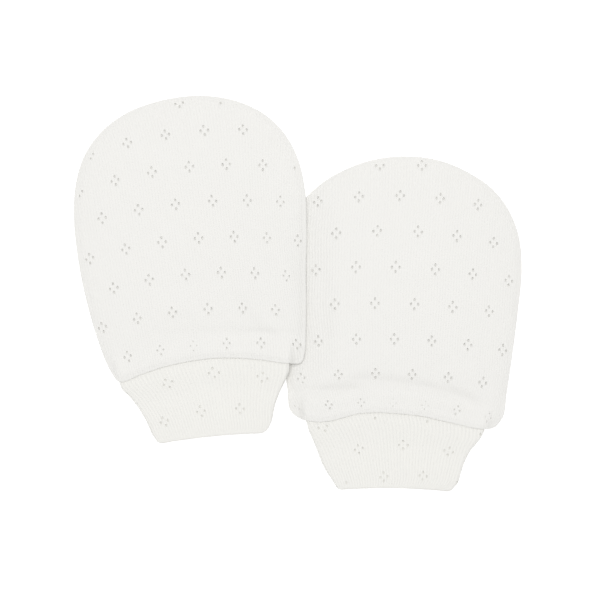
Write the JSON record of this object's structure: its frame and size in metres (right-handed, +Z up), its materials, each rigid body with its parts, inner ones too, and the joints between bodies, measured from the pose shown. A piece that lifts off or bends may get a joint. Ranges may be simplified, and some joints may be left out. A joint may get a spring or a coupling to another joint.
{
  "type": "pair of baby mittens",
  "caption": "Pair of thumbless baby mittens in fine pointelle rib knit, laid flat, each with a rounded hand bag and a tapering cuff folded double at its hem.",
  "frame": {"origin": "middle of the pair's footprint, on the surface that the mittens lie on", "axes": "+Z up from that surface, +Y towards the fingertips, +X to the right of a viewer who looks down with the fingertips away from them"},
  "size_m": [0.157, 0.1388, 0.0114],
  "materials": {
    "front_knit": "matte fine rib knit in cream-white cotton with pointelle holes",
    "back_knit": "matte fine rib knit in cream-white cotton with pointelle holes",
    "cuff_knit": "matte fine rib knit in cream-white cotton, folded double"
  },
  "bodies": {
    "root": {"left_front": "front_knit", "left_back": "back_knit", "left_cuff": "cuff_knit", "right_front": "front_knit", "right_back": "back_knit", "right_cuff": "cuff_knit"}
  },
  "joints": []
}
